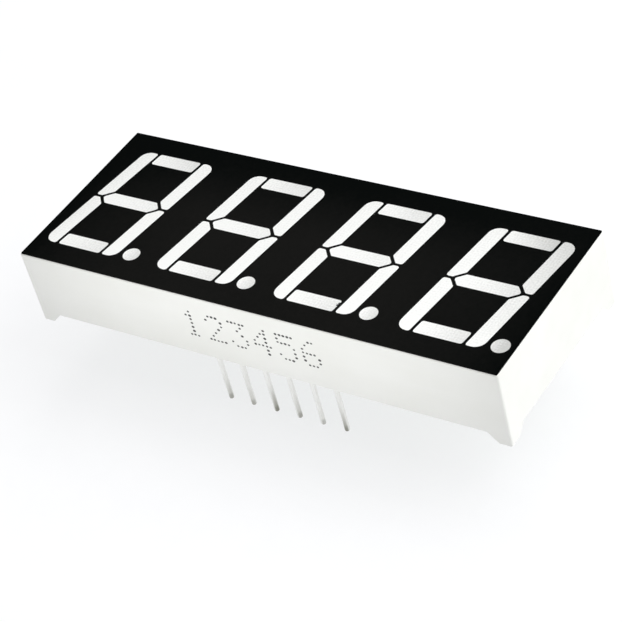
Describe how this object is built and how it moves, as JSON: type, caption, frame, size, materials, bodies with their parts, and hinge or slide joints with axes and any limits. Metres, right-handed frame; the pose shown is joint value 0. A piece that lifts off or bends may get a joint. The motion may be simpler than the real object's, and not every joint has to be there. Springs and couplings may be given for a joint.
{
  "type": "seven segment display module",
  "caption": "White moulded LED display module with a black printed face, slanted digits of light bars with decimal points, corner feet and rows of tinned wire pins.",
  "frame": {"origin": "on the surface that the pin tips stand on, below the middle of the face", "axes": "+X along the row of digits, +Y towards the tops of the digits, +Z out of the face"},
  "size_m": [0.0502, 0.019, 0.014],
  "materials": {
    "housing_plastic": "fine satin moulding",
    "face_ink": "matte black print",
    "diffused_resin": "milky casting resin, lightly levelled",
    "board_laminate": "green solder resist on glass laminate",
    "copper": "bare copper under resist",
    "die": "polished semiconductor",
    "gold_wire": "drawn wire",
    "solder": "satin solder",
    "clear_resin": "clear casting resin with a level face",
    "tinned_wire": "tinned wire, satin with dull tips"
  },
  "bodies": {
    "root": {"housing": "housing_plastic", "face_print": "face_ink", "segment_1a": "diffused_resin", "segment_1b": "diffused_resin", "segment_1c": "diffused_resin", "segment_1d": "diffused_resin", "segment_1e": "diffused_resin", "segment_1f": "diffused_resin", "segment_1g": "diffused_resin", "segment_2a": "diffused_resin", "segment_2b": "diffused_resin", "segment_2c": "diffused_resin", "segment_2d": "diffused_resin", "segment_2e": "diffused_resin", "segment_2f": "diffused_resin", "segment_2g": "diffused_resin", "segment_3a": "diffused_resin", "segment_3b": "diffused_resin", "segment_3c": "diffused_resin", "segment_3d": "diffused_resin", "segment_3e": "diffused_resin", "segment_3f": "diffused_resin", "segment_3g": "diffused_resin", "segment_4a": "diffused_resin", "segment_4b": "diffused_resin", "segment_4c": "diffused_resin", "segment_4d": "diffused_resin", "segment_4e": "diffused_resin", "segment_4f": "diffused_resin", "segment_4g": "diffused_resin", "decimal_point_1": "diffused_resin", "decimal_point_2": "diffused_resin", "decimal_point_3": "diffused_resin", "decimal_point_4": "diffused_resin", "circuit_board": "board_laminate", "copper_tracks": "copper", "led_chips": "die", "bond_wires": "gold_wire", "solder_joints": "solder", "back_potting": "clear_resin", "pin_01": "tinned_wire", "pin_02": "tinned_wire", "pin_03": "tinned_wire", "pin_04": "tinned_wire", "pin_05": "tinned_wire", "pin_06": "tinned_wire", "pin_07": "tinned_wire", "pin_08": "tinned_wire", "pin_09": "tinned_wire", "pin_10": "tinned_wire", "pin_11": "tinned_wire", "pin_12": "tinned_wire"}
  },
  "joints": []
}
